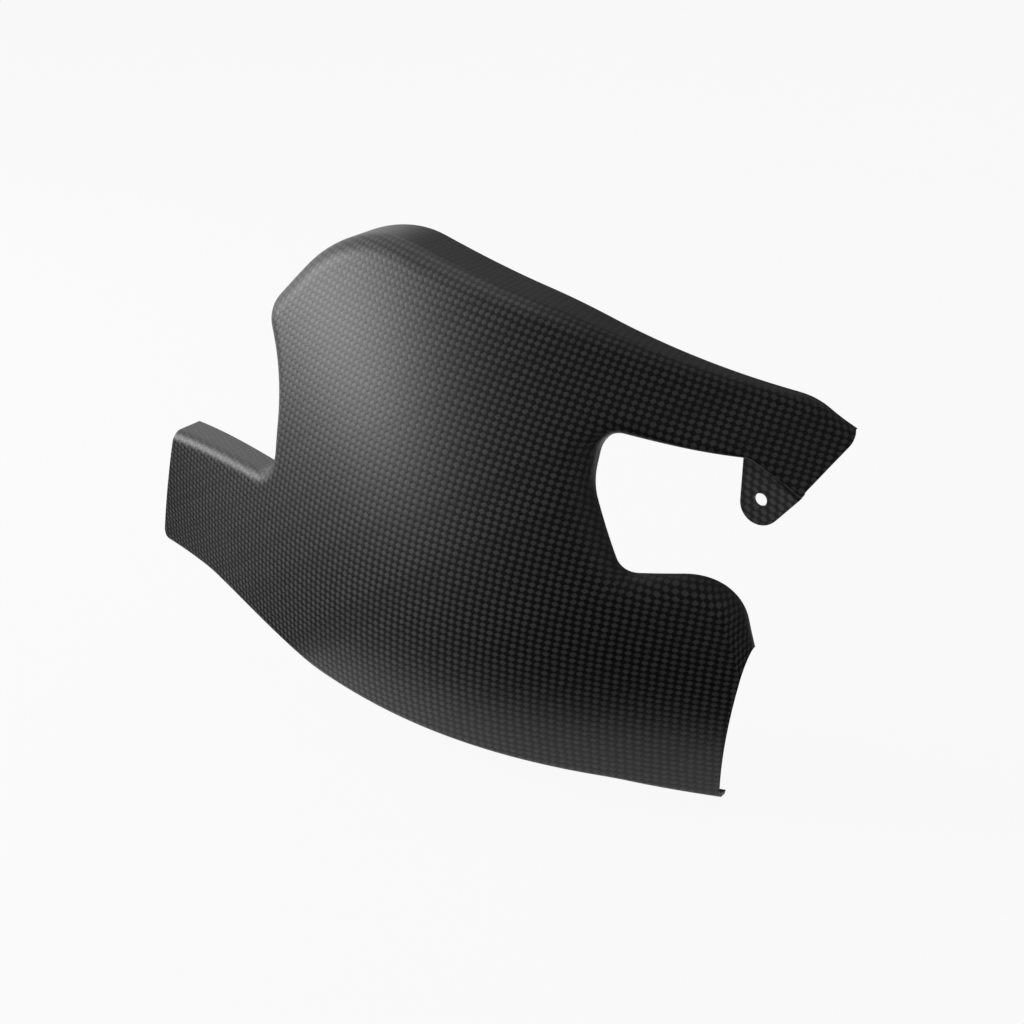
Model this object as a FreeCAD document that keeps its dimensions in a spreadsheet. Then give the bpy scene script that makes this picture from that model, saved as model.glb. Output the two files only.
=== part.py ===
import FreeCAD, Part
import math
import os
import Sketcher

# Swingarm protector: one moulded shell, bowed in plan and in section, with rolled rims, a cut-out
# between two arms and a drilled tab. The origin is the fixing hole on the outer face of the tab,
# +X runs to the rear, -Y is outboard, +Z is up. All sizes are millimetres, and the depth is the
# moulding's before its tip is trimmed.

length = 299
height = 187
depth = 95
wall = 1.6
rim_roll = 4.5
lip_roll = 2.2
hole_diameter = 5

V = FreeCAD.Vector
doc = FreeCAD.newDocument("swingarm_protector")
sheet = doc.addObject("Spreadsheet::Sheet", "sizes")
row = 0


def size(name, content):
    global row
    row += 1
    sheet.set("A%d" % row, name)
    sheet.set("B%d" % row, content)
    sheet.setAlias("B%d" % row, name)


def share(name, hundredths, whole):
    size(name, "=%s * %r / 100" % (whole, hundredths))


size("length", repr(length))
size("height", repr(height))
size("depth", repr(depth))
size("wall", repr(wall))
size("rim_roll", repr(rim_roll))
size("lip_roll", repr(lip_roll))
size("hole_diameter", repr(hole_diameter))

# the layout below is in hundredths: across and radii of the length, up of the height, in and out of
# the depth; first the space that the forms are cut from
share("form_ahead", 126, "depth")
share("form_behind", 347, "depth")
share("block_depth", 168, "depth")

# the field of the bowed outer face: where it starts and how far it runs
share("field_x", -98, "length")
share("field_z", -60.4, "height")
share("field_length", 110.4, "length")
share("field_height", 112.3, "height")

# how far each of five cross sections stands in or out, at its low, belly and top handle
sections = [
    ("front_end", 23.2, -11.6, 10.5),
    ("wing", -8.4, -3.2, 26.3),
    ("hump", -85.3, -125.3, -47.4),
    ("waist", -54.7, -155.8, -22.1),
    ("rear_end", -1.1, -53.7, 152.6),
]

# how deep the rims and flanges stand behind that face: three cross sections, the same handles
flanges = [
    ("flange_front", -22.1, 55.8, -8.4),
    ("flange_middle", 17.9, -11.6, 61.1),
    ("flange_rear", 2.1, 9.5, -2.1),
]
for name, low, belly, top in sections + flanges:
    share(name + "_low", low, "depth")
    share(name + "_belly", belly, "depth")
    share(name + "_top", top, "depth")

# corners of the moulding seen from outboard: across, up and the radius that rounds the corner;
# it runs past all three ends, which are trimmed afterwards
spare_front = -96.32
spare_rear = 12.04
wing_level = -8.56
hump_edge = -63.28
outline = [
    ("wing_spare_low", spare_front, -35.51, 0),
    ("wing_spare_top", spare_front, wing_level, 0),
    ("foot", hump_edge, wing_level, 4.01),
    ("side", hump_edge, 11.76, 18.39),
    ("shoulder", -68.09, 24.71, 3.34),
    ("crown", -54.52, 46.31, 18.73),
    ("brow", -23.75, 34.22, 83.61),
    ("tip_top", 4.01, 18.18, 11.71),
    ("tip_spare_top", spare_rear, 8.18, 0),
    ("tip_spare_low", spare_rear, -5.72, 0),
    ("tab_root", -0.33, 9.52, 2.68),
    ("gap_top", -15.85, 14.87, 2.01),
    ("gap_side", -15.55, 5.35, 8.36),
    ("gap_low", -10.54, -9.79, 3.01),
    ("arm_top", 1.4, -9.89, 7.36),
    ("arm_spare_top", 5.69, -35.29, 0),
    ("arm_spare_low", 7.36, -59.14, 0),
    ("lip_rear", -11.37, -52.94, 26.76),
    ("lip_bend", -56.19, -46.1, 50.17),
    ("lip_front", -80.27, -38.18, 33.44),
]

# corners of the trim: the front end, the rear end of the lower arm and the tip of the upper arm
trim_front = -85.82
trim_under = -66.84
trim_over = 54.55
trim = [
    ("trim_wing_top", trim_front, -3.21, 0),
    ("trim_wing_low", -91.77, -36.47, 1.67),
    ("trim_lip", -84.28, -37.7, 0),
    ("trim_below_front", -84.28, trim_under, 0),
    ("trim_below_rear", -1.2, trim_under, 0),
    ("trim_arm", 4.62, -16.04, 0),
    ("trim_tab", 5.42, 2.25, 0),
    ("trim_tip", 9.13, 11.71, 1.51),
    ("trim_tip_over", 4.01, 19.41, 0),
    ("trim_brow", -12.71, 28.18, 0),
    ("trim_above_rear", -12.71, trim_over, 0),
    ("trim_above_front", trim_front, trim_over, 0),
]

# corners of the tab, with a rounded end round the hole
tab = [
    ("tab_top_front", -1.87, 10.91, 0),
    ("tab_end", -2.88, -11.87, 2.64),
    ("tab_rear", 6.09, 4.12, 0),
    ("tab_top_rear", -0.33, 10.32, 0),
]
for name, across, up, radius in outline + trim + tab:
    share(name + "_x", across, "length")
    share(name + "_z", up, "height")
    if radius:
        share(name + "_r", radius, "length")

# the box behind the tip in which the flange is left deep enough to carry the tab
share("gusset_x", -4, "length")
share("gusset_z", 0, "height")
share("gusset_length", 9.7, "length")
share("gusset_height", 12.8, "height")
doc.recompute()

def read(name):
    return float(sheet.get(name))


def rounded(name, corners):
    # a closed outline on the XZ plane: lines between the corners, each corner rounded by an arc
    sketch = doc.addObject("Sketcher::SketchObject", name)
    sketch.Placement = FreeCAD.Placement(V(0, 0, 0), FreeCAD.Rotation(V(1, 0, 0), 90))
    count = len(corners)
    points = [V(read(c[0] + "_x"), read(c[0] + "_z"), 0) for c in corners]
    starts, ends, arcs = [], [], {}
    for i in range(count):
        here = points[i]
        if not corners[i][3]:
            starts.append(here)
            ends.append(here)
            continue
        radius = read(corners[i][0] + "_r")
        back = (points[i - 1] - here).normalize()
        on = (points[(i + 1) % count] - here).normalize()
        half = (back + on).normalize()
        lean = half.dot(back)
        rise = (1 - lean * lean) ** 0.5
        starts.append(here + back * (radius * lean / rise))
        ends.append(here + on * (radius * lean / rise))
        centre = here + half * (radius / rise)
        turn = (starts[i] - centre).cross(ends[i] - centre).z > 0
        first, last = (starts[i], ends[i]) if turn else (ends[i], starts[i])
        low = math.atan2(first.y - centre.y, first.x - centre.x)
        high = math.atan2(last.y - centre.y, last.x - centre.x)
        if high < low:
            high += 2 * math.pi
        circle = Part.Circle(centre, V(0, 0, 1), radius)
        arcs[i] = (Part.ArcOfCircle(circle, low, high), 1 if turn else 2)
    lines = []
    for i in range(count):
        line = Part.LineSegment(ends[i - 1], starts[i])
        lines.append(sketch.addGeometry(line, False))
    rules = []
    bound = []
    for i in range(count):
        after = lines[(i + 1) % count]
        if i in arcs:
            curve, first = arcs[i]
            arc = sketch.addGeometry(curve, False)
            spot = sketch.addGeometry(Part.Point(points[i]), True)
            rules.append(Sketcher.Constraint("Tangent", lines[i], 2, arc, first))
            rules.append(Sketcher.Constraint("Tangent", arc, 3 - first, after, 1))
            rules.append(Sketcher.Constraint("PointOnObject", spot, 1, lines[i]))
            rules.append(Sketcher.Constraint("PointOnObject", spot, 1, after))
            bound.append((len(rules), corners[i][0] + "_r"))
            rules.append(Sketcher.Constraint("Radius", arc, curve.Radius))
            at = (spot, 1)
        else:
            rules.append(Sketcher.Constraint("Coincident", lines[i], 2, after, 1))
            at = (lines[i], 2)
        bound.append((len(rules), corners[i][0] + "_x"))
        rules.append(Sketcher.Constraint("DistanceX", at[0], at[1], points[i].x))
        bound.append((len(rules), corners[i][0] + "_z"))
        rules.append(Sketcher.Constraint("DistanceY", at[0], at[1], points[i].y))
    sketch.addConstraint(rules)
    for index, alias in bound:
        sketch.setExpression("Constraints[%d]" % index, "sizes." + alias)
    return sketch


def extruded(name, base, ahead, behind):
    # carries a flat or bowed face straight ahead, along -Y, and straight back, along +Y
    solid = doc.addObject("Part::Extrusion", name)
    solid.Base = base
    solid.DirMode = "Custom"
    solid.Dir = V(0, -1, 0)
    solid.Solid = True
    solid.setExpression("LengthFwd", ahead)
    solid.setExpression("LengthRev", behind)
    return solid


def handles(rows):
    return [[read(r[0] + end) for end in ("_low", "_belly", "_top")] for r in rows]


def net(stand):
    # a smooth surface over the field: five cross sections by three handles
    surface = Part.BezierSurface()
    surface.increase(4, 2)
    for i in range(5):
        for j in range(3):
            across = read("field_x") + read("field_length") * i / 4
            up = read("field_z") + read("field_height") * j / 2
            surface.setPole(i + 1, j + 1, V(across, stand[i][j], up))
    return surface


def shown(name, surface):
    face = doc.addObject("Part::Feature", name)
    face.Shape = surface.toShape()
    return face


def added(first, second):
    return [[p + q for p, q in zip(f, s)] for f, s in zip(first, second)]


# the outer face
front_stand = handles(sections)
front_surface = net(front_stand)
front_face = shown("front_face", front_surface)

# the inner face: its handles are drawn in step by step until it stands one wall behind at each of them
spots = [(i, j) for i in range(5) for j in range(3)]
need = [[read("wall") / abs(front_surface.normal(i / 4, j / 2).y) for j in range(3)] for i in range(5)]
behind = [list(line) for line in need]
for step in range(30):
    reached = net(behind)
    for i, j in spots:
        behind[i][j] += need[i][j] - reached.value(i / 4, j / 2).y
inner_surface = net(added(front_stand, behind))
inner_face = shown("inner_face", inner_surface)

# the face that the flanges end on
a, b, c = handles(flanges)
reach = []
reach.append(a)
reach.append([(p + q) / 2 for p, q in zip(a, b)])
reach.append([(p + 4 * q + r) / 6 for p, q, r in zip(a, b, c)])
reach.append([(q + r) / 2 for q, r in zip(b, c)])
reach.append(c)
back_face = shown("back_face", net(added(front_stand, reach)))

outline_sketch = rounded("outline", outline)
inner_outline = doc.addObject("Part::Offset2D", "inner_outline")
inner_outline.Source = outline_sketch
inner_outline.Join = "Intersection"
inner_outline.setExpression("Value", "-sizes.wall")
doc.recompute()

lip_names = ["wing_spare_low", "lip_front", "lip_bend", "lip_rear", "arm_spare_low"]
lip_run = [(read(name + "_x"), read(name + "_z")) for name in lip_names]


def lip_level(x):
    for (x0, z0), (x1, z1) in zip(lip_run, lip_run[1:]):
        if x <= x1:
            return z0 + (z1 - z0) * (x - x0) / (x1 - x0)
    return lip_run[-1][1]


def middle(edge):
    return edge.valueAt((edge.FirstParameter + edge.LastParameter) / 2)


def lies_on(surface, edge):
    for part in (0.1, 0.5, 0.9):
        spot = edge.valueAt(edge.FirstParameter + (edge.LastParameter - edge.FirstParameter) * part)
        u, v = surface.parameter(spot)
        if surface.value(u, v).distanceToPoint(spot) > 0.05:
            return False
    return True


def moulded(name, base, face, surface, behind, lip_radius, rim_radius):
    # the outline carried back from a bowed face: the lower edge gets a tight roll, the rims a wider
    # one, and the spare ends stay sharp
    blank = extruded(name + "_blank", base, "sizes.form_ahead", "sizes.form_behind")
    solid = extruded(name + "_solid", face, "0", behind)
    block = doc.addObject("Part::Common", name + "_block")
    block.Base = blank
    block.Tool = solid
    doc.recompute()
    front_end = read("wing_spare_low_x") + 2 * read("wall")
    rear_end = read("tip_spare_top_x") - 2 * read("wall")
    lip_edges, rim_spots = [], []
    for index, edge in enumerate(block.Shape.Edges):
        spot = middle(edge)
        if spot.x < front_end or spot.x > rear_end or not lies_on(surface, edge):
            continue
        if spot.z < lip_level(spot.x) + 2 * read("lip_roll"):
            lip_edges.append((index + 1, lip_radius, lip_radius))
        else:
            rim_spots.append(spot)
    lip_rolled = doc.addObject("Part::Fillet", name + "_lip_rolled")
    lip_rolled.Base = block
    lip_rolled.Edges = lip_edges
    doc.recompute()
    rim_edges = []
    for index, edge in enumerate(lip_rolled.Shape.Edges):
        if min(middle(edge).distanceToPoint(spot) for spot in rim_spots) < 0.05:
            rim_edges.append((index + 1, rim_radius, rim_radius))
    rolled = doc.addObject("Part::Fillet", name)
    rolled.Base = lip_rolled
    rolled.Edges = rim_edges
    doc.recompute()
    return rolled


# the moulding: a rolled block, hollowed by the same block one wall smaller
outer = moulded("outer", outline_sketch, front_face, front_surface, "sizes.block_depth",
                read("lip_roll"), read("rim_roll"))
inner = moulded("inner", inner_outline, inner_face, inner_surface, "sizes.form_behind",
                read("lip_roll") - read("wall"), read("rim_roll") - read("wall"))
moulding = doc.addObject("Part::Cut", "moulding")
moulding.Base = outer
moulding.Tool = inner

# flanges cut to depth behind, then the three ends trimmed
behind_back = extruded("behind_back", back_face, "0", "sizes.form_behind")
gusset = doc.addObject("Part::Box", "gusset")
gusset.setExpression("Length", "sizes.gusset_length")
gusset.setExpression("Width", "sizes.form_ahead")
gusset.setExpression("Height", "sizes.gusset_height")
gusset.setExpression("Placement.Base.x", "sizes.gusset_x")
gusset.setExpression("Placement.Base.y", "sizes.wall - sizes.form_ahead")
gusset.setExpression("Placement.Base.z", "sizes.gusset_z")
waste = doc.addObject("Part::Cut", "waste")
waste.Base = behind_back
waste.Tool = gusset
cut_back = doc.addObject("Part::Cut", "cut_back")
cut_back.Base = moulding
cut_back.Tool = waste
trim_sketch = rounded("trim_outline", trim)
keep = extruded("keep", trim_sketch, "sizes.form_ahead", "sizes.form_behind")
trimmed = doc.addObject("Part::Common", "trimmed")
trimmed.Base = cut_back
trimmed.Tool = keep

# the tab and its fixing hole
tab_sketch = rounded("tab_outline", tab)
plate = extruded("plate", tab_sketch, "0", "sizes.wall")
joined = doc.addObject("Part::Fuse", "joined")
joined.Base = trimmed
joined.Tool = plate
drill = doc.addObject("Part::Cylinder", "drill")
drill.setExpression("Radius", "sizes.hole_diameter / 2")
drill.setExpression("Height", "sizes.wall * 3")
drill.setExpression("Placement.Base.y", "sizes.wall * 2")
drill.Placement.Rotation = FreeCAD.Rotation(V(1, 0, 0), 90)
shell = doc.addObject("Part::Cut", "protector_shell")
shell.Base = joined
shell.Tool = drill
shell.Label = "protector_shell"
doc.recompute()

for thing in doc.Objects:
    if "Invalid" in thing.State or "Error" in thing.State:
        raise SystemExit("not built: " + thing.Name)
    if hasattr(thing, "Shape") and (thing.Shape.isNull() or not thing.Shape.isValid()):
        raise SystemExit("shape not valid: " + thing.Name)
if len(shell.Shape.Solids) != 1:
    raise SystemExit("the shell is not one solid")
os.makedirs("parts", exist_ok=True)
shell.Shape.exportStep("parts/protector_shell.step")
print("protector_shell", round(shell.Shape.Volume), "mm3", shell.Shape.BoundBox)
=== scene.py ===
import math

import bpy
import numpy as np
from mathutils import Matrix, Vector


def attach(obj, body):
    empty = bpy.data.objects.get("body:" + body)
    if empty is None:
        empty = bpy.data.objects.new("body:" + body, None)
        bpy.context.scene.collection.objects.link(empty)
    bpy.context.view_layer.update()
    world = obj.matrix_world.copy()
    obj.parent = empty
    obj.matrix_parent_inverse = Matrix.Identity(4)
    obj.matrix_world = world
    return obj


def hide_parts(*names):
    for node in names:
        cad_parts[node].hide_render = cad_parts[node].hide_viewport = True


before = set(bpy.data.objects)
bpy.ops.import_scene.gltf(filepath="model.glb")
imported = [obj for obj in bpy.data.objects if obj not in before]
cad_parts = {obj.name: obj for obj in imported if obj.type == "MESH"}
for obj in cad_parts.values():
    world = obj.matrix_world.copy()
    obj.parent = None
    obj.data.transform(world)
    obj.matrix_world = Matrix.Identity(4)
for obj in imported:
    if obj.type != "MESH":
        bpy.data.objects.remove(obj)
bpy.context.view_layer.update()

# the moulded shell, in millimetres: +X to the rear, -Y outboard, +Z up, the fixing hole at zero
shell = {
    "fieldStart": (-293.0, -113.0),      # where the bowed face's field begins, along x and z
    "fieldSize": (330.0, 210.0),
    "sections": ((22, -11, 10), (-8, -3, 25), (-81, -119, -45), (-52, -148, -21), (-1, -51, 145)),
    "flangeDepth": ((-21, 53, -8), (17, -11, 58), (2, 9, -2)),
    "wall": 1.6,
    "rimRoll": 4.5,
    "lipRoll": 2.2,
    "wideRoll": 8.0,                     # round the cut-out and the shoulder the roll is wider than deep
    "leastFlange": 0.8,                  # the shortest straight run behind a roll
    "armFades": (0.45, 0.95),            # shares of the rim over which a flange dies out
    "tipFades": (0.72, 0.97),
    "sanded": 0.3,
    "sandedAngle": 55,
    "rollRows": 9,
    "flangeRows": 7,
    "outline": {                         # x, z and the radius of each corner, clockwise
        "wingSpareLow": (-288, -66.4, 0), "wingSpareTop": (-288, -16, 0),
        "foot": (-189.2, -16, 12), "side": (-189.2, 22, 55), "shoulder": (-203.6, 46.2, 10),
        "crown": (-163, 86.6, 56), "brow": (-71, 64, 250),
        "tipTop": (12, 34, 35), "tipSpareTop": (36, 15.3, 0), "tipSpareLow": (36, -10.7, 0),
        "tabRoot": (-1, 17.8, 8),
        "gapTop": (-47.4, 27.8, 6), "gapSide": (-46.5, 10, 25), "gapLow": (-31.5, -18.3, 9),
        "armTop": (4.2, -18.5, 22), "armSpareTop": (17, -66, 0), "armSpareLow": (22, -110.6, 0),
        "lipRear": (-34, -99, 80), "lipBend": (-168, -86.2, 150), "lipFront": (-240, -71.4, 100),
    },
    "trim": {                            # the line that the ends are cut along, given the same way
        "wingTop": (-256.6, -6, 0), "wingLow": (-274.4, -68.2, 5), "lip": (-252, -70.5, 0),
        "belowFront": (-252, -125, 0), "belowRear": (-3.6, -125, 0), "arm": (13.8, -30, 0),
        "tab": (16.2, 4.2, 0), "tip": (27.3, 21.9, 4.5), "overTip": (12, 36.3, 0),
        "brow": (-38, 52.7, 0), "aboveRear": (-38, 102, 0), "aboveFront": (-256.6, 102, 0),
    },
    "browSplit": (-56, 58),              # where the upper arm's patch meets the hump's
    "counts": {"wing": 48, "base": 104, "arm": 50, "gap": 40, "neck": 22, "top": 66, "tab": 30, "end": 44},
}

# the drilled tab under the tip
tab = {
    "endCorner": (-8.6, -22.2, 7.9),
    "leftRoot": (-6.4, 19.0),            # where the tab's front edge leaves the arm
    "runOut": 14.0,                      # how far ahead of the tab the flange turns to meet it
    "leastStep": 0.3,                    # from the face back to the plate
    "rollShare": 0.5,                    # parts of that step that the roll and the bend may take
    "bendShare": 0.4,
    "bend": 3.0,                         # radius of the turn from flange to plate
    "bendRows": 6,
    "holeRadius": 2.5,
    "rings": 10,
    "sideCount": 60,
}

# how the cloth lies on the face: tows per 100 mm, and how that drifts along x and z
cloth = {
    "middle": (-120.0, 0.0),
    "unit": 100.0,
    "towWidth": 2.0,
    "warp": {(1, 0): 28.7, (0, 1): -46.0, (2, 0): -1.7, (1, 1): -0.8, (0, 2): -3.7,
             (3, 0): -1.0, (2, 1): -3.2, (1, 2): 0.9},
    "weft": {(1, 0): 37.0, (0, 1): 32.8, (1, 1): 8.4, (0, 2): -0.9,
             (3, 0): 4.4, (2, 1): 4.0, (1, 2): 6.1},
}


# Bernstein weights: binomial times t to the k times (1 - t) to the rest
def bernstein(degree, t):
    t = np.asarray(t, float)
    return np.stack([math.comb(degree, k) * t**k * (1 - t) ** (degree - k) for k in range(degree + 1)], -1)


# height of a handle net over the field: weights along x times weights along z times the handles
def netHeight(net, x, z):
    net = np.asarray(net, float)
    u = (x - shell["fieldStart"][0]) / shell["fieldSize"][0]
    v = (z - shell["fieldStart"][1]) / shell["fieldSize"][1]
    weightsX = bernstein(net.shape[0] - 1, u)
    weightsZ = bernstein(net.shape[1] - 1, v)
    return np.einsum("...i,...j,ij->...", weightsX, weightsZ, net)


def faceY(x, z):
    return netHeight(shell["sections"], x, z)


# a closed clockwise outline with each corner rounded by an arc: the heading turns evenly through the
# corner, and a point is the arc's centre plus the radius square to the heading
def roundedLoop(corners, perCorner=41):
    data = np.array(corners, float)
    at, radius = data[:, :2], data[:, 2]
    back = np.roll(at, 1, axis=0) - at
    onward = np.roll(at, -1, axis=0) - at
    back /= np.linalg.norm(back, axis=1, keepdims=True)
    onward /= np.linalg.norm(onward, axis=1, keepdims=True)
    half = back + onward
    half /= np.linalg.norm(half, axis=1, keepdims=True)
    lean = (half * back).sum(1)
    rise = np.sqrt(1 - lean**2)
    centre = at + half * (radius / rise)[:, None]
    headIn = np.arctan2(-back[:, 1], -back[:, 0])
    turn = np.arctan2(onward[:, 1], onward[:, 0]) - headIn
    turn = (turn + np.pi) % (2 * np.pi) - np.pi
    heading = headIn[:, None] + turn[:, None] * np.linspace(0, 1, perCorner)
    side = (np.sign(turn) * radius)[:, None]
    inward = np.stack([np.sin(heading), -np.cos(heading)], -1)
    points = (centre[:, None] + side[..., None] * inward).reshape(-1, 2)
    inward = inward.reshape(-1, 2)
    points = np.vstack([points, points[:1]])
    inward = np.vstack([inward, inward[:1]])
    steps = np.linalg.norm(np.diff(points, axis=0), axis=1) + 1e-9
    run = np.concatenate([[0], np.cumsum(steps)])
    middles = run[perCorner // 2::perCorner][:len(at)]
    return {"points": points, "inward": inward, "run": run, "middles": middles}


# points of a loop at given run lengths, moved inwards by an offset, and the inward directions there
def along(loop, run, offset=0.0):
    pick = [np.interp(run, loop["run"], loop["points"][:, k]) for k in (0, 1)]
    lean = [np.interp(run, loop["run"], loop["inward"][:, k]) for k in (0, 1)]
    inward = np.stack(lean, -1)
    inward /= np.linalg.norm(inward, axis=-1, keepdims=True)
    return np.stack(pick, -1) + inward * np.asarray(offset)[..., None], inward


# even-odd rule: a point is inside where a ray to the right crosses the outline an odd number of times
def inside(points, polygon):
    a, b = polygon[:-1], polygon[1:]
    px, pz = points[:, :1], points[:, 1:]
    crosses = (a[:, 1] > pz) != (b[:, 1] > pz)
    rise = np.where(b[:, 1] == a[:, 1], 1e-9, b[:, 1] - a[:, 1])
    return (crosses & (px < a[:, 0] + (pz - a[:, 1]) * (b[:, 0] - a[:, 0]) / rise)).sum(1) % 2 == 1


def nearest(loop, point, count=30000):
    run = np.linspace(0, loop["run"][-1], count)
    return run[np.argmin(((along(loop, run)[0] - point) ** 2).sum(1))]


outline = roundedLoop(list(shell["outline"].values()))
trim = roundedLoop(list(shell["trim"].values()))
cornerRun = dict(zip(shell["outline"], outline["middles"]))
cornerRun["browSplit"] = nearest(outline, shell["browSplit"])
cornerRun["tabLeft"] = nearest(outline, tab["leftRoot"])
cornerRun["loopEnd"] = outline["run"][-1]


# the stretch of outline between two corners that the trim keeps, for a row at this offset
def keptRun(first, last, offset, step=0.05):
    run = np.arange(cornerRun[first], cornerRun[last], step)
    spots = along(outline, run, np.full(run.shape, offset))[0]
    kept = run[inside(spots, trim["points"])]
    return kept[0], kept[-1]


# fabric coordinates in tows: a drifting sum of powers of x and z, in hundreds of millimetres
def clothAt(points):
    x = (points[..., 0] - cloth["middle"][0]) / cloth["unit"]
    z = (points[..., 1] - cloth["middle"][1]) / cloth["unit"]
    return np.stack([sum(c * x**i * z**j for (i, j), c in cloth[k].items()) for k in ("warp", "weft")], -1)


# tows gained per millimetre when the cloth runs over an edge along this direction
def clothLean(points, direction, probe=0.5):
    lean = clothAt(points + probe * direction) - clothAt(points - probe * direction)
    return lean / np.linalg.norm(lean, axis=-1, keepdims=True) / cloth["towWidth"]


# a smooth step from 0 to 1
def eased(share):
    share = np.clip(share, 0, 1)
    return share * share * (3 - 2 * share)


grids = []


def addGrid(place, tows, rimShare=0.0, flip=False):
    grids.append((place, tows, np.broadcast_to(rimShare, place.shape[:2]), flip))


# a rim: each row is the outline moved inwards, rows turn through a quarter of an ellipse from the face and
# then run straight back to the depth of the flange; the roll's width eases from one end to the other
def rimGrid(first, last, count, rolls, trimStart="", trimEnd="", tabSide=False, fades=()):
    turns = np.linspace(0, np.pi / 2, shell["rollRows"])
    inset = np.concatenate([1 - np.sin(turns), np.zeros(shell["flangeRows"])])
    share = np.linspace(0, 1, count)
    roll = rolls[0] + (rolls[1] - rolls[0]) * eased(share)
    starts, ends = [], []
    for part in inset:
        offset = part * (rolls[0] if trimStart else rolls[1])
        low, high = keptRun(trimStart or first, trimEnd or last, offset)
        starts.append(low if trimStart else cornerRun[first])
        ends.append(high if trimEnd else cornerRun[last])
    run = np.array(starts)[:, None] * (1 - share) + np.array(ends)[:, None] * share
    flat, inward = along(outline, run, inset[:, None] * roll)
    face = faceY(flat[..., 0], flat[..., 1])
    least = np.minimum(roll, shell["rimRoll"]) + shell["leastFlange"]
    reach = np.maximum(netHeight(shell["flangeDepth"], flat[-1, :, 0], flat[-1, :, 1]), least)
    if fades:                            # the flange dies out towards the trimmed end
        reach += (least - reach) * eased((share - fades[0]) / (fades[1] - fades[0]))
    rollDeep = np.minimum(roll, reach - shell["leastFlange"])
    back = face[-1] + reach
    drop = np.concatenate([1 - np.cos(turns), np.ones(shell["flangeRows"])])[:, None]
    straightShare = np.linspace(0, 1, shell["flangeRows"] + 1)[1:]
    slide = np.concatenate([np.zeros(len(turns)), straightShare])[:, None]
    if tabSide:                          # the flange runs out level with the tab
        near = eased((flat[-1, :, 0] - tab["leftRoot"][0] + tab["runOut"]) / tab["runOut"])
        step = np.maximum(-face[-1], tab["leastStep"])
        rollDeep = rollDeep * (1 - near) + np.minimum(rollDeep, step * tab["rollShare"]) * near
        bendTop = -np.minimum(tab["bend"], step * tab["bendShare"])
        back = back * (1 - near) + bendTop * near
    deep = face + rollDeep * drop
    deep = deep * (1 - slide) + back * slide
    place = np.stack([flat[..., 0], deep, flat[..., 1]], -1)
    steps = np.linalg.norm(np.diff(place, axis=0), axis=-1)
    walk = np.concatenate([np.zeros((1, count)), np.cumsum(steps, 0)])
    lean = clothLean(flat[0], -inward[0])
    tows = clothAt(flat[0]) + lean * walk[..., None]
    addGrid(place, tows, np.minimum(drop + slide, 1))
    return {"flat": flat, "place": place, "tows": tows, "lean": lean, "outward": -inward, "walk": walk}


# Coons patch: blend of the low and high curves plus blend of the two side curves, less the corners
def coons(low, high, left, right):
    u = np.linspace(0, 1, len(low))[None, :, None]
    v = np.linspace(0, 1, len(left))[:, None, None]
    across = (1 - v) * low[None] + v * high[None]
    up = (1 - u) * left[:, None] + u * right[:, None]
    ends = (1 - v) * ((1 - u) * low[0] + u * low[-1]) + v * ((1 - u) * high[0] + u * high[-1])
    flat = across + up - ends
    place = np.stack([flat[..., 0], faceY(flat[..., 0], flat[..., 1]), flat[..., 1]], -1)
    addGrid(place, clothAt(flat))


def straight(a, b, count):
    share = np.linspace(0, 1, count)[:, None]
    return a * (1 - share) + b * share


# the trimmed edge between two points that lie on it
def alongTrim(a, b, count):
    run = np.linspace(nearest(trim, a), nearest(trim, b), count)
    spots = along(trim, run)[0]
    spots[0], spots[-1] = a, b
    return spots


counts = shell["counts"]
plain, tight, wide = shell["rimRoll"], shell["lipRoll"], shell["wideRoll"]
sideCount = counts["gap"] + counts["neck"] - 1
lowCount = counts["top"] - counts["tab"] + 1
lipCount = counts["wing"] + counts["base"] + counts["arm"] - 2
wingRim = rimGrid("wingSpareTop", "foot", counts["wing"], (plain, plain), trimStart="wingSpareTop")
sideRim = rimGrid("foot", "shoulder", sideCount, (plain, wide))
crownRim = rimGrid("shoulder", "browSplit", counts["base"], (wide, plain))
browRim = rimGrid("browSplit", "tipSpareTop", counts["top"], (plain, tight), trimEnd="tipSpareTop",
                  fades=shell["tipFades"])
tabRim = rimGrid("tipSpareLow", "tabLeft", counts["tab"], (plain, plain), trimStart="tipSpareLow",
                 tabSide=True)
lowRim = rimGrid("tabLeft", "gapTop", lowCount, (plain, wide), tabSide=True)
gapRim = rimGrid("gapTop", "gapLow", counts["gap"], (wide, wide))
armRim = rimGrid("gapLow", "armSpareTop", counts["arm"], (wide, plain), trimEnd="armSpareTop",
                 fades=shell["armFades"])
lipRim = rimGrid("armSpareLow", "loopEnd", lipCount, (tight, tight), trimStart="armSpareLow",
                 trimEnd="loopEnd")

baseLine = straight(sideRim["flat"][0, 0], gapRim["flat"][0, -1], counts["base"])
neckLine = straight(gapRim["flat"][0, 0], browRim["flat"][0, 0], counts["neck"])
lowCurve = lipRim["flat"][0, ::-1]
highCurve = np.vstack([wingRim["flat"][0], baseLine[1:], armRim["flat"][0, 1:]])
wingEnd = alongTrim(lowCurve[0], highCurve[0], counts["end"])
armEnd = alongTrim(lowCurve[-1], highCurve[-1], counts["end"])
coons(lowCurve, highCurve, wingEnd, armEnd)
gapCurve = np.vstack([gapRim["flat"][0, ::-1], neckLine[1:]])
coons(baseLine, crownRim["flat"][0], sideRim["flat"][0], gapCurve)
underCurve = np.vstack([lowRim["flat"][0, ::-1], tabRim["flat"][0, -2::-1]])
tipCurve = alongTrim(underCurve[-1], browRim["flat"][0, -1], counts["neck"])
coons(underCurve, browRim["flat"][0], neckLine, tipCurve)
print("shell patches", len(grids))

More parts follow.
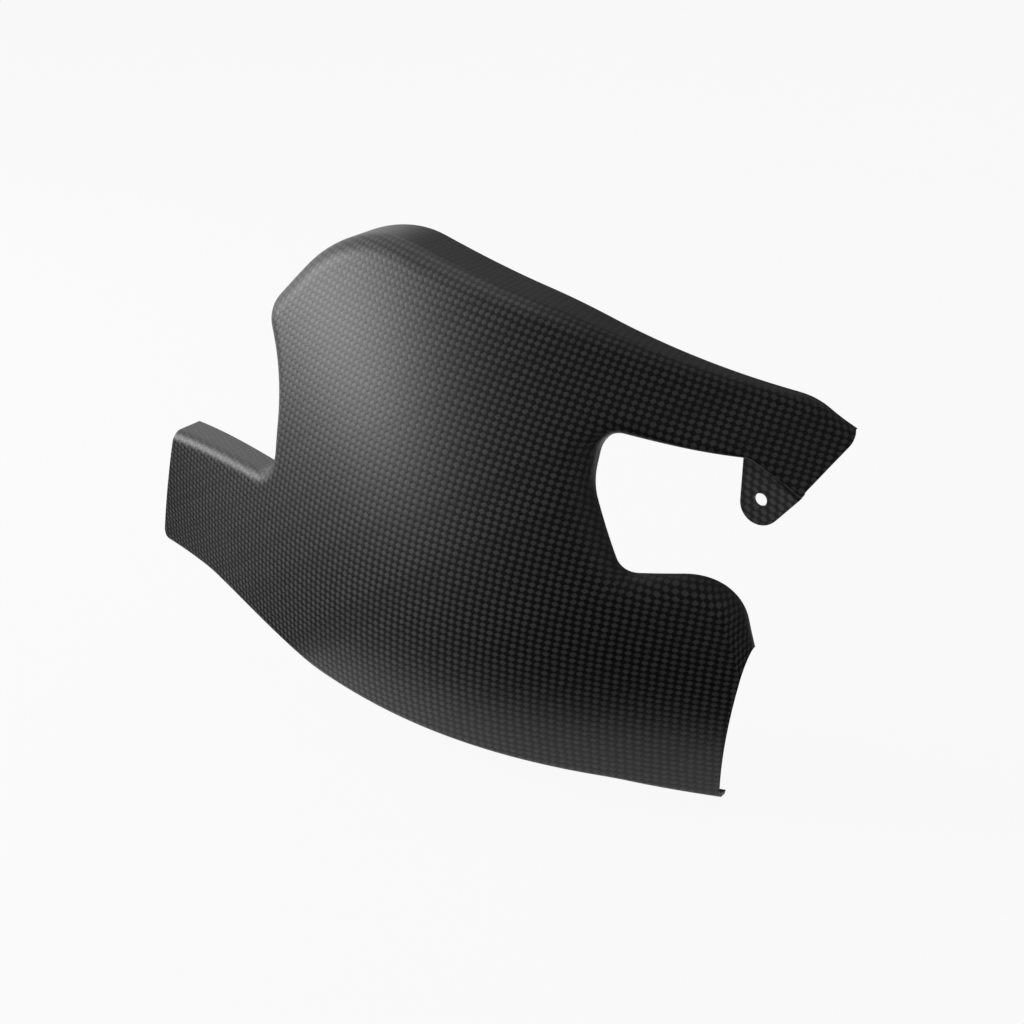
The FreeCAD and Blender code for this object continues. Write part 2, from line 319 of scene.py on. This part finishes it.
# the tab: a hollow quarter turn from the flange to the plate, then rings from its outline to the hole
bendTurn = np.linspace(0, np.pi / 2, tab["bendRows"])[:, None]
root, outward = tabRim["flat"][-1], tabRim["outward"][-1]
bendFlat = root + outward * (tab["bend"] * (1 - np.cos(bendTurn)))[..., None]
bendDeep = tabRim["place"][-1, :, 1] * (1 - np.sin(bendTurn))
bendPlace = np.stack([bendFlat[..., 0], bendDeep, bendFlat[..., 1]], -1)
bendWalk = tabRim["walk"][-1] + tab["bend"] * bendTurn
bendTows = tabRim["tows"][0] + tabRim["lean"] * bendWalk[..., None]
addGrid(bendPlace, bendTows, 1.0)
plateTop = bendFlat[-1]
plateLoop = roundedLoop([(*plateTop[0], 0), tab["endCorner"], (*plateTop[-1], 0)])
plateSide = along(plateLoop, np.linspace(0, plateLoop["middles"][2], tab["sideCount"]))[0]
plateSide[0], plateSide[-1] = plateTop[0], plateTop[-1]
plateEdge = np.vstack([plateSide, plateTop[-2::-1]])
holeAngle = np.arctan2(plateEdge[:, 1], plateEdge[:, 0])
holeEdge = tab["holeRadius"] * np.stack([np.cos(holeAngle), np.sin(holeAngle)], -1)
rings = np.linspace(0, 1, tab["rings"])[:, None, None]
plateFlat = plateEdge * (1 - rings) + holeEdge * rings
platePlace = np.stack([plateFlat[..., 0], np.zeros(plateFlat.shape[:2]), plateFlat[..., 1]], -1)
midTop = len(plateTop) // 2
turnX = clothLean(plateTop[midTop], np.array([1.0, 0.0]))
turnZ = clothLean(plateTop[midTop], np.array([0.0, 1.0]))
plateTows = bendTows[-1, midTop] + (plateFlat - plateTop[midTop]) @ np.stack([turnX, turnZ])
addGrid(platePlace, plateTows, 2.0, flip=True)


# joins grids into one sheet: corners of neighbouring grid points make the faces, equal points are merged
def sheetMesh(name, parts):
    places, tows, rims, faces, base = [], [], [], [], 0
    for place, tow, rimShare, flip in parts:
        rows, cols = place.shape[:2]
        index = np.arange(rows * cols).reshape(rows, cols) + base
        quads = np.stack([index[:-1, :-1], index[:-1, 1:], index[1:, 1:], index[1:, :-1]], -1)
        faces.append(quads.reshape(-1, 4)[:, ::-1] if flip else quads.reshape(-1, 4))
        places.append(place.reshape(-1, 3))
        tows.append(tow.reshape(-1, 2))
        rims.append(rimShare.reshape(-1))
        base += rows * cols
    places, tows, faces = np.vstack(places), np.vstack(tows), np.vstack(faces)
    first, back = np.unique(np.round(places, 3), axis=0, return_index=True, return_inverse=True)[1:]
    merged = back.reshape(-1)[faces]
    mesh = bpy.data.meshes.new(name)
    mesh.from_pydata((places[first] / 1000).tolist(), [], merged.tolist())
    layer = mesh.uv_layers.new(name="tows")
    layer.data.foreach_set("uv", tows[faces.reshape(-1)].reshape(-1).astype(np.float32))
    share = mesh.attributes.new("rimShare", "FLOAT", "POINT")    # 0 face, 1 flange, 2 tab
    share.data.foreach_set("value", np.concatenate(rims)[first].astype(np.float32))
    mesh.validate()
    mesh.update()
    mesh.polygons.foreach_set("use_smooth", np.ones(len(mesh.polygons), bool))
    return mesh


shellObject = bpy.data.objects.new("protectorShell", sheetMesh("protectorShell", grids))
bpy.context.scene.collection.objects.link(shellObject)
wall = shellObject.modifiers.new("wall", "SOLIDIFY")
wall.thickness = shell["wall"] / 1000
wall.offset = -1
wall.use_even_offset = True
wall.material_offset = 1
wall.material_offset_rim = 2
sanded = shellObject.modifiers.new("sandedEdges", "BEVEL")   # cut edges are sanded round
sanded.width = shell["sanded"] / 1000
sanded.segments = 2
sanded.limit_method = "ANGLE"
sanded.angle_limit = math.radians(shell["sandedAngle"])
sanded.harden_normals = True
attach(shellObject, "root")
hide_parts("protector_shell")
print("shell", len(shellObject.data.vertices), "points", len(shellObject.data.polygons), "faces")

# the finish and painted light: colours of the cloth, rims, tab and cut edges, and how each side of the shell
# shines; the warp colour is a painted highlight and the tab's greys are partly painted light
finishAndPaintedLight = {
    "gap": (0.0012, 0.0012, 0.0013),
    # painted highlight: the warp crowns' colour is made bright to stand for the glint they catch
    "warp": (0.066, 0.0667, 0.0652),
    "weft": (0.0060, 0.0061, 0.0060),
    "rim": (0.03, 0.0302, 0.03),
    # partly painted light: the tab is plain grey, made far paler to stand for light from the front and right
    # that the hump's shadow keeps from it
    "tabPaintedLight": (0.42, 0.422, 0.42),
    "tabPaintedLightGap": (0.20, 0.201, 0.20),
    "edgeDark": (0.035, 0.035, 0.034),
    "edgePale": (0.15, 0.15, 0.147),
    "edgeGrain": 900,
    "edgeDetail": 3,
    "edgeDull": (0.35, 0.65),
    "face": {"dull": 0.50, "coat": 0.16, "relief": 0.00005, "rimFade": 0.65},
    "back": {"dull": 0.62, "coat": 0.0, "relief": 0.00008, "rimFade": 0.3},
    "crownShine": 0.04,                  # a tow's crown is this much less rough than the gaps
    "gleam": 0.25,
    "coatDull": 0.42,
    "rimCoat": 1.5,                      # how much more coat the rims have, as a share
    "tabWeave": 0.35,                    # how much of the fade the tab gives back
    "towGain": (0.8, 1.15),              # tows differ in brightness between these
}

# the weave: how the tows wander, and the bright crown's form
weaveForm = {
    "driftScale": 0.21,
    "driftDetail": 2,
    "wander": 0.5,
    "draw": 0.1,                         # draws the painted highlight's lens out across its tow
    "brightFrom": -0.35,
    "brightTo": 0.45,
    "archShare": 0.9,                    # of a half wave that one crown spans
    "flatPower": 2.6,
    "flatFall": 4.2,
}


def nodeIn(tree, kind, **settings):
    node = tree.nodes.new(kind)
    for name, value in settings.items():
        setattr(node, name, value)
    return node


# a chain helper: a maths node on values or sockets
def maths(tree, operation, *values):
    node = nodeIn(tree, "ShaderNodeMath", operation=operation)
    for socket, value in zip(node.inputs, values):
        if isinstance(value, (int, float)):
            socket.default_value = value
        else:
            tree.links.new(value, socket)
    return node.outputs[0]


def blended(tree, share, first, second):
    node = nodeIn(tree, "ShaderNodeMix", data_type="RGBA")
    for socket, value in ((node.inputs[0], share), (node.inputs[6], first), (node.inputs[7], second)):
        if isinstance(value, tuple):
            socket.default_value = (*value, 1)
        else:
            tree.links.new(value, socket)
    return node.outputs[2]


def smoothBand(tree, value, low, high):
    node = nodeIn(tree, "ShaderNodeMapRange", interpolation_type="SMOOTHSTEP")
    node.inputs["From Min"].default_value = low
    node.inputs["From Max"].default_value = high
    tree.links.new(value, node.inputs["Value"])
    return node.outputs[0]


# plain weave: the square where tows cross is odd or even; on even squares the warp is on top, on odd ones
# the weft. The crown's height is a cosine along the top tow, flattened across it. The board is the sine along
# one tow times the sine along the other: high on even squares, low on odd ones. On even squares the warp
# shows a bright lens, a painted highlight of the glint on its crowns.
def weaveGroup():
    tree = bpy.data.node_groups.new("plainWeave", "ShaderNodeTree")
    for name, kind in (("Tows", "Vector"), ("Wander", "Float"), ("Draw", "Float")):
        tree.interface.new_socket(name, in_out="INPUT", socket_type="NodeSocket" + kind)
    for name in ("Crown", "Warp", "Weft", "Streak"):
        tree.interface.new_socket(name, in_out="OUTPUT", socket_type="NodeSocketFloat")
    inlet, outlet = nodeIn(tree, "NodeGroupInput"), nodeIn(tree, "NodeGroupOutput")
    drift = nodeIn(tree, "ShaderNodeTexNoise", noise_dimensions="2D")
    drift.inputs["Scale"].default_value = weaveForm["driftScale"]
    drift.inputs["Detail"].default_value = weaveForm["driftDetail"]
    tree.links.new(inlet.outputs["Tows"], drift.inputs["Vector"])
    split = nodeIn(tree, "ShaderNodeSeparateXYZ")
    tree.links.new(inlet.outputs["Tows"], split.inputs[0])
    sway = nodeIn(tree, "ShaderNodeSeparateColor")
    tree.links.new(drift.outputs["Color"], sway.inputs[0])
    moved = []
    for k in (0, 1):
        swing = maths(tree, "SUBTRACT", sway.outputs[k], 0.5)
        shift = maths(tree, "MULTIPLY", swing, inlet.outputs["Wander"])
        moved.append(maths(tree, "ADD", split.outputs[k], shift))
    cells = [maths(tree, "FLOOR", m) for m in moved]
    local = [maths(tree, "SUBTRACT", maths(tree, "FRACT", m), 0.5) for m in moved]
    odd = maths(tree, "FLOORED_MODULO", maths(tree, "ADD", *cells), 2.0)
    even = maths(tree, "SUBTRACT", 1.0, odd)

    def topTow(onEven, onOdd):
        shares = maths(tree, "MULTIPLY", onEven, even), maths(tree, "MULTIPLY", onOdd, odd)
        return maths(tree, "ADD", *shares)

    alongTow, acrossTow = topTow(local[1], local[0]), topTow(local[0], local[1])
    arch = maths(tree, "COSINE", maths(tree, "MULTIPLY", alongTow, math.pi * weaveForm["archShare"]))
    across = maths(tree, "POWER", maths(tree, "ABSOLUTE", acrossTow), weaveForm["flatPower"])
    flat = maths(tree, "SUBTRACT", 1.0, maths(tree, "MULTIPLY", across, weaveForm["flatFall"]))
    pick = nodeIn(tree, "ShaderNodeCombineXYZ")
    tree.links.new(maths(tree, "MULTIPLY", cells[0], even), pick.inputs[0])
    tree.links.new(maths(tree, "MULTIPLY", cells[1], odd), pick.inputs[1])
    streak = nodeIn(tree, "ShaderNodeTexWhiteNoise", noise_dimensions="2D")
    tree.links.new(pick.outputs[0], streak.inputs["Vector"])
    waves = [maths(tree, "SINE", maths(tree, "MULTIPLY", m, math.pi)) for m in moved]
    board = maths(tree, "MULTIPLY", *waves)
    drawn = maths(tree, "COSINE", maths(tree, "MULTIPLY", moved[0], 2 * math.pi))
    lens = maths(tree, "SUBTRACT", board, maths(tree, "MULTIPLY", drawn, inlet.outputs["Draw"]))
    warp = smoothBand(tree, lens, weaveForm["brightFrom"], weaveForm["brightTo"])
    weft = smoothBand(tree, board, 0.0, -1.0)
    tree.links.new(maths(tree, "MULTIPLY", arch, flat), outlet.inputs["Crown"])
    tree.links.new(warp, outlet.inputs["Warp"])
    tree.links.new(weft, outlet.inputs["Weft"])
    tree.links.new(streak.outputs["Value"], outlet.inputs["Streak"])
    return tree


weave = weaveGroup()


# carbon cloth under resin: gaps are darkest, warp crowns brightest as a painted highlight of their glint, and
# the rims fade to plain resin, the tab to a pale grey that is partly painted light
def carbonMaterial(name, look):
    material = bpy.data.materials.new(name)
    material.use_nodes = True
    tree = material.node_tree
    shader = tree.nodes["Principled BSDF"]
    tows = nodeIn(tree, "ShaderNodeUVMap", uv_map="tows")
    woven = nodeIn(tree, "ShaderNodeGroup", node_tree=weave)
    woven.inputs["Wander"].default_value = weaveForm["wander"]
    woven.inputs["Draw"].default_value = weaveForm["draw"]
    tree.links.new(tows.outputs[0], woven.inputs["Tows"])
    rim = nodeIn(tree, "ShaderNodeAttribute", attribute_name="rimShare").outputs["Fac"]
    onTab = maths(tree, "MAXIMUM", maths(tree, "SUBTRACT", rim, 1.0), 0.0)
    fade = maths(tree, "MULTIPLY", maths(tree, "MINIMUM", rim, 1.0), look["rimFade"])
    given = maths(tree, "MULTIPLY", onTab, look["rimFade"] * finishAndPaintedLight["tabWeave"])
    fade = maths(tree, "SUBTRACT", fade, given)
    keep = maths(tree, "SUBTRACT", 1.0, fade)
    lowGain, highGain = finishAndPaintedLight["towGain"]
    gain = maths(tree, "ADD", maths(tree, "MULTIPLY", woven.outputs["Streak"], highGain - lowGain), lowGain)
    warpGlintShare, weftShare = [maths(tree, "MULTIPLY", woven.outputs[k], gain) for k in ("Warp", "Weft")]
    # painted highlight: the bright warp colour paints the crowns' glint
    warp = blended(tree, warpGlintShare, finishAndPaintedLight["gap"], finishAndPaintedLight["warp"])
    both = blended(tree, weftShare, warp, finishAndPaintedLight["weft"])
    # partly painted light: the tab's plain grey, made pale to stand for light the hump's shadow keeps from it
    tabPaintedCloth = blended(tree, woven.outputs["Warp"], finishAndPaintedLight["tabPaintedLightGap"], finishAndPaintedLight["tabPaintedLight"])
    resinWithPaintedTab = blended(tree, onTab, finishAndPaintedLight["rim"], tabPaintedCloth)
    tree.links.new(blended(tree, fade, both, resinWithPaintedTab), shader.inputs["Base Color"])
    crowns = maths(tree, "ADD", woven.outputs["Warp"], woven.outputs["Weft"])
    shine = maths(tree, "MULTIPLY", maths(tree, "MULTIPLY", crowns, keep), -finishAndPaintedLight["crownShine"])
    tree.links.new(maths(tree, "ADD", shine, look["dull"]), shader.inputs["Roughness"])
    bump = nodeIn(tree, "ShaderNodeBump")
    bump.inputs["Distance"].default_value = look["relief"]
    tree.links.new(maths(tree, "MULTIPLY", woven.outputs["Crown"], keep), bump.inputs["Height"])
    tree.links.new(bump.outputs[0], shader.inputs["Normal"])
    shader.inputs["Specular IOR Level"].default_value = finishAndPaintedLight["gleam"]
    shader.inputs["Coat Roughness"].default_value = finishAndPaintedLight["coatDull"]
    if look["coat"]:
        more = maths(tree, "MULTIPLY", fade, look["coat"] * finishAndPaintedLight["rimCoat"])
        tree.links.new(maths(tree, "ADD", more, look["coat"]), shader.inputs["Coat Weight"])
    return material


def plainMaterial(name, colour, roughness):
    material = bpy.data.materials.new(name)
    material.use_nodes = True
    shader = material.node_tree.nodes["Principled BSDF"]
    shader.inputs["Base Color"].default_value = (*colour, 1)
    shader.inputs["Roughness"].default_value = roughness
    return material


# the cut edge shows bare fibre ends: a fine grain between a dark and a pale grey
def edgeMaterial(name):
    material = bpy.data.materials.new(name)
    material.use_nodes = True
    tree = material.node_tree
    shader = tree.nodes["Principled BSDF"]
    grain = nodeIn(tree, "ShaderNodeTexNoise")
    grain.inputs["Scale"].default_value = finishAndPaintedLight["edgeGrain"]
    grain.inputs["Detail"].default_value = finishAndPaintedLight["edgeDetail"]
    tree.links.new(nodeIn(tree, "ShaderNodeTexCoord").outputs["Object"], grain.inputs["Vector"])
    share = grain.outputs[0]
    smooth, rough = finishAndPaintedLight["edgeDull"]
    tree.links.new(blended(tree, share, finishAndPaintedLight["edgeDark"], finishAndPaintedLight["edgePale"]), shader.inputs["Base Color"])
    dull = maths(tree, "ADD", maths(tree, "MULTIPLY", share, rough - smooth), smooth)
    tree.links.new(dull, shader.inputs["Roughness"])
    return material


for material in (
    carbonMaterial("carbonFace", finishAndPaintedLight["face"]),
    carbonMaterial("carbonBack", finishAndPaintedLight["back"]),
    edgeMaterial("carbonEdge"),
):
    shellObject.data.materials.append(material)
print("materials", [material.name for material in shellObject.data.materials])

# camera at the photograph's viewing angle, in metres; the focal length is in widths of the picture
view = {
    "place": (0.28918, -0.67590, 0.26120),
    "target": (-0.082, -0.033, -0.009),
    "sensor": 36,
    "focalShare": 2200 / 1024,
}


def turnTowards(piece, place, target):
    piece.location = place
    piece.rotation_euler = (Vector(target) - Vector(place)).to_track_quat("-Z", "Y").to_euler()


cameraData = bpy.data.cameras.new("camera")
cameraData.sensor_width = view["sensor"]
cameraData.lens = view["sensor"] * view["focalShare"]
camera = bpy.data.objects.new("camera", cameraData)
bpy.context.scene.collection.objects.link(camera)
turnTowards(camera, view["place"], view["target"])
bpy.context.scene.camera = camera

# stage: a white floor, a white surround for the eye and a dimmer one for the light
stage = {
    "floorLevel": -0.1064,
    "floorHalf": 8.0,
    "floorShade": 0.5,
    "floorDull": 0.9,
    "floorGlow": 0.93,                   # share of plain white that is seen, the rest keeps the shadow
    "surround": 0.06,
}


# one for the rays that show the surround itself: from the camera, by reflection or straight through
def seenRays(tree):
    sight = nodeIn(tree, "ShaderNodeLightPath")
    seen = maths(tree, "MAXIMUM", sight.outputs["Is Camera Ray"], sight.outputs["Is Glossy Ray"])
    return maths(tree, "MAXIMUM", seen, sight.outputs["Is Transmission Ray"])


def paleFloor():
    half, level = stage["floorHalf"], stage["floorLevel"]
    corners = [(-half, -half, level), (half, -half, level), (half, half, level), (-half, half, level)]
    mesh = bpy.data.meshes.new("floor")
    mesh.from_pydata(corners, [], [(0, 1, 2, 3)])
    floor = bpy.data.objects.new("floor", mesh)
    bpy.context.scene.collection.objects.link(floor)
    material = plainMaterial("paleFloor", (stage["floorShade"],) * 3, stage["floorDull"])
    tree = material.node_tree
    glow = nodeIn(tree, "ShaderNodeEmission")
    mixed = nodeIn(tree, "ShaderNodeMixShader")
    tree.links.new(maths(tree, "MULTIPLY", seenRays(tree), stage["floorGlow"]), mixed.inputs[0])
    tree.links.new(tree.nodes["Principled BSDF"].outputs[0], mixed.inputs[1])
    tree.links.new(glow.outputs[0], mixed.inputs[2])
    tree.links.new(mixed.outputs[0], tree.nodes["Material Output"].inputs["Surface"])
    mesh.materials.append(material)


paleFloor()

# cards round the object that only reflections see: a dark ring just above the floor, and walls that lean in,
# dark ahead and to the right, grey behind; angles in degrees from straight ahead, places in metres
cards = {
    "middle": (-0.09, -0.03),
    "lift": 0.001,
    "steps": 40,
    "ringAngles": (-112, 150),
    "ringReach": (0.06, 1.2),
    "ringStretch": 2.0,
    "wallAngles": (-38, 62),
    "wallRise": (0, 86),
    "wallRows": 14,
    "backAngles": (62, 214),
    "wallShade": (0.04, 0.04, 0.04),
    "ringShade": (0.03, 0.03, 0.03),
    "backShade": (0.25, 0.25, 0.25),
}


# place = middle + reach * (sine, minus cosine of the angle), at this height
def sweptCard(name, angles, reach, rise, shade, stretch=1.0):
    angle = np.radians(np.linspace(*angles, cards["steps"]))[:, None]
    reach = np.asarray(reach)[None]
    height = np.asarray(rise)[None] + stage["floorLevel"] + cards["lift"]
    x = cards["middle"][0] + stretch * reach * np.sin(angle)
    y = cards["middle"][1] - reach * np.cos(angle)
    place = np.stack([x, y, np.broadcast_to(height, x.shape)], -1)
    index = np.arange(x.size).reshape(x.shape)
    quads = np.stack([index[:-1, :-1], index[1:, :-1], index[1:, 1:], index[:-1, 1:]], -1)
    mesh = bpy.data.meshes.new(name)
    mesh.from_pydata(place.reshape(-1, 3).tolist(), [], quads.reshape(-1, 4).tolist())
    mesh.materials.append(plainMaterial(name, shade, 1.0))
    piece = bpy.data.objects.new(name, mesh)
    bpy.context.scene.collection.objects.link(piece)
    for kind in ("camera", "diffuse", "shadow", "transmission"):
        setattr(piece, "visible_" + kind, False)


lift = np.radians(np.linspace(*cards["wallRise"], cards["wallRows"]))
wallReach, wallUp = cards["ringReach"][1] * np.cos(lift), cards["ringReach"][1] * np.sin(lift)
sweptCard("darkRing", cards["ringAngles"], cards["ringReach"], (0.0, 0.0), cards["ringShade"],
          cards["ringStretch"])
sweptCard("darkWall", cards["wallAngles"], wallReach, wallUp, cards["wallShade"])
sweptCard("greyBack", cards["backAngles"], wallReach, wallUp, cards["backShade"])


def studioWorld():
    world = bpy.data.worlds.new("studio")
    bpy.context.scene.world = world
    world.use_nodes = True
    tree = world.node_tree
    background = tree.nodes["Background"]
    background.inputs["Color"].default_value = (1, 1, 1, 1)
    rest = stage["surround"]
    strength = maths(tree, "ADD", maths(tree, "MULTIPLY", seenRays(tree), 1 - rest), rest)
    tree.links.new(strength, background.inputs["Strength"])


studioWorld()

# square soft lights: places and sides in metres, power in watts
lights = {
    "leftSoftbox": {"place": (-1.4, -0.42, 0.5), "target": (-0.12, -0.03, 0), "side": 0.8, "power": 23},
    "overhead": {"place": (-0.1, 0.2, 1.4), "target": (-0.1, 0, 0), "side": 1.2, "power": 4},
    "rightFill": {"place": (1.0, -0.9, 0.5), "target": (0, 0, 0), "side": 0.8, "power": 2.2},
}
for name, values in lights.items():
    light = bpy.data.lights.new(name, "AREA")
    light.size, light.energy = values["side"], values["power"]
    lamp = bpy.data.objects.new(name, light)
    bpy.context.scene.collection.objects.link(lamp)
    turnTowards(lamp, values["place"], values["target"])
bpy.context.scene.view_settings.view_transform = "Standard"
print("stage set")
